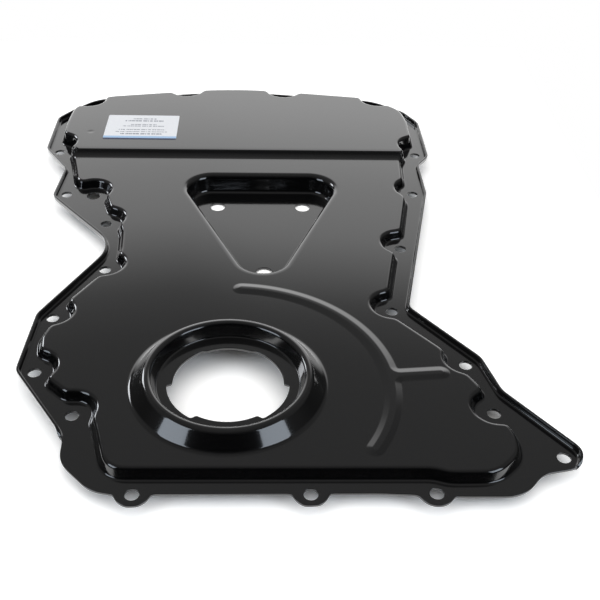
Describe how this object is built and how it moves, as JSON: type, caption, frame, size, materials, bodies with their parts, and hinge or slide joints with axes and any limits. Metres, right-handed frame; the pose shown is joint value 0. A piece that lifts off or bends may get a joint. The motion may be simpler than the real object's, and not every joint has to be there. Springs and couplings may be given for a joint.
{
  "type": "timing cover",
  "caption": "Pressed steel timing cover with bolted flange, crank opening in a raised collar, domed upper end and sunk triangular seat.",
  "frame": {"origin": "centre of the bounding box in plan, at the lowest point, the underside of the sunk triangle", "axes": "+X to the right in the picture, +Y from the crank opening towards the dome, +Z out of the engine"},
  "size_m": [0.324, 0.4504, 0.0235],
  "materials": {
    "black_gloss_paint": "gloss"
  },
  "bodies": {
    "root": {"timing_cover": "black_gloss_paint"}
  },
  "joints": []
}
